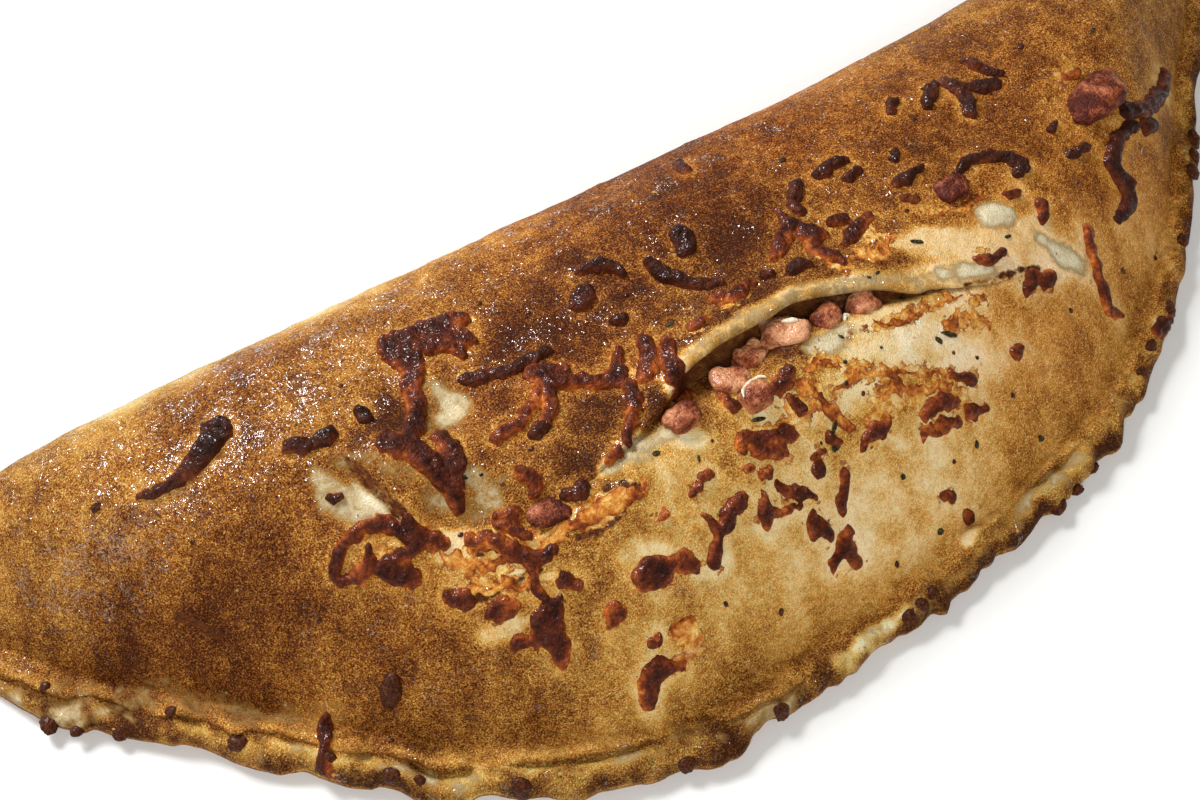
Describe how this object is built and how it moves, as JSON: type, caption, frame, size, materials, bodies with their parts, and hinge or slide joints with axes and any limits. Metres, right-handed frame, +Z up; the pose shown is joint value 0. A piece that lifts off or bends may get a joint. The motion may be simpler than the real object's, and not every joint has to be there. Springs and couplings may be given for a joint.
{
  "type": "panzerotto",
  "caption": "Large baked half-moon of folded dough with a pinched lip, browned cheese shreds fused to the crust and diced ham showing in a long slit.",
  "frame": {"origin": "centre of the bounding box at the flat underside, on the surface the panzerotto lies on", "axes": "+X along the fold, +Y from the sealed lip towards the fold, +Z up"},
  "size_m": [0.315, 0.1251, 0.0513],
  "materials": {
    "crust": "baked dough, golden to dark brown, fine grain, glossy in places",
    "cheese": "browned and charred melted cheese, glossy",
    "ham": "cooked ham, pink to red-brown, moist",
    "herb": "dried dark herb"
  },
  "bodies": {
    "root": {"crust": "crust", "ham_01": "ham", "ham_02": "ham", "ham_03": "ham", "ham_04": "ham", "ham_05": "ham", "ham_06": "ham", "ham_07": "ham", "ham_08": "ham", "ham_09": "ham", "ham_10": "ham"}
  },
  "joints": []
}
